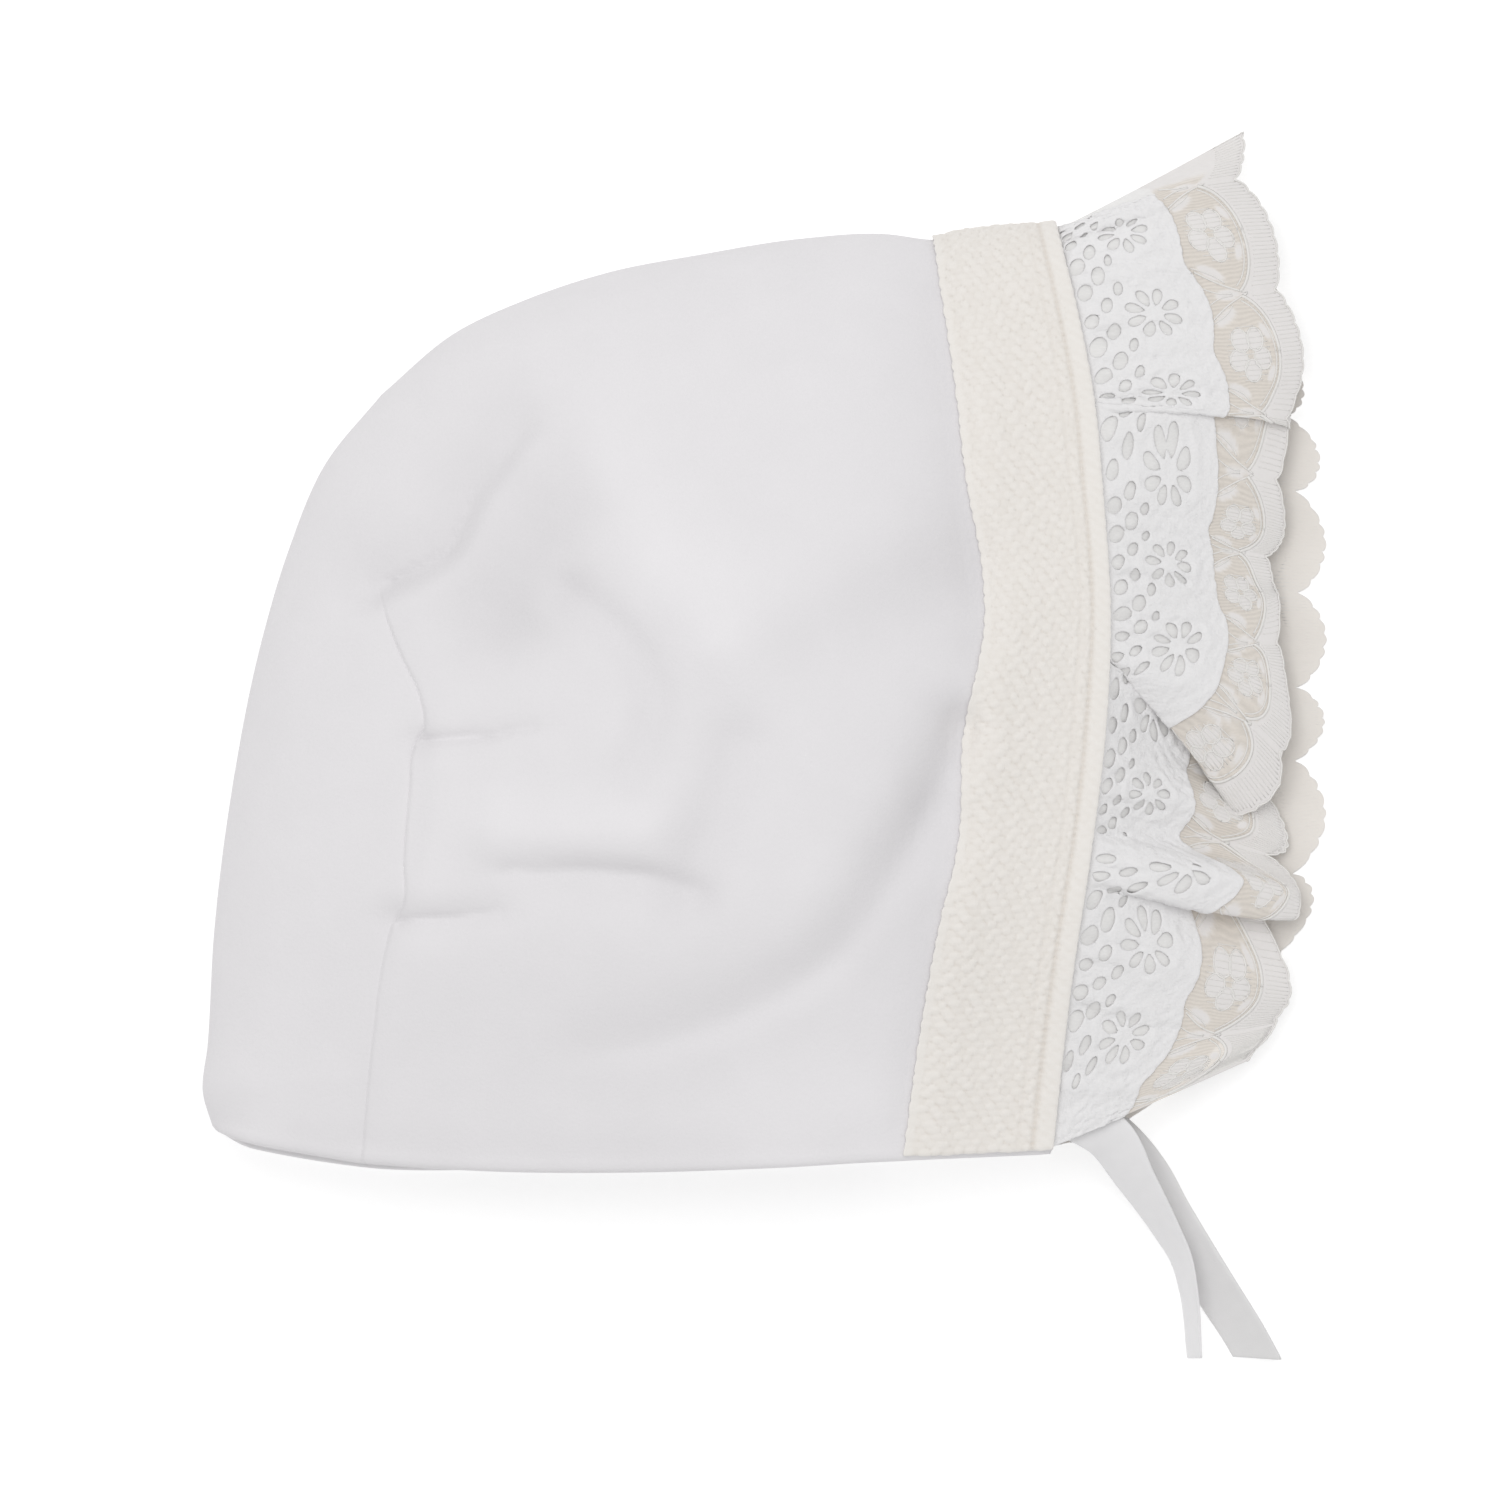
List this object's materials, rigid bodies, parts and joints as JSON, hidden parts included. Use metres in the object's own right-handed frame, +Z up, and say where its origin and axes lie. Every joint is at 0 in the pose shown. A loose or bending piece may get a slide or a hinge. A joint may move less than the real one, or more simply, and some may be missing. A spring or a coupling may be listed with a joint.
{
  "type": "fleece baby bonnet",
  "caption": "Soft fleece baby bonnet lying flat on its side, with a knit front band, a short pierced lace ruffle over a longer scalloped net ruffle, and ribbon ties.",
  "frame": {"origin": "on the table, under the middle of the lying bonnet's box, measured without the ties", "axes": "+X from the nape towards the face opening, +Y from the neck edge towards the top of the head, +Z up from the table, out of the bonnet's right side"},
  "size_m": [0.1907, 0.2082, 0.043],
  "materials": {
    "fleece": "soft brushed fleece",
    "knit": "cream wool knit with a grainy stitch",
    "cotton_lace": "matt cotton lace",
    "net_lace": "fine net lace with a faint sheen",
    "ribbon": "smooth ribbon with a soft sheen"
  },
  "bodies": {
    "root": {"crown": "fleece", "knit_band": "knit", "cotton_lace": "cotton_lace", "net_lace": "net_lace", "tie_right": "ribbon", "tie_left": "ribbon"}
  },
  "joints": []
}
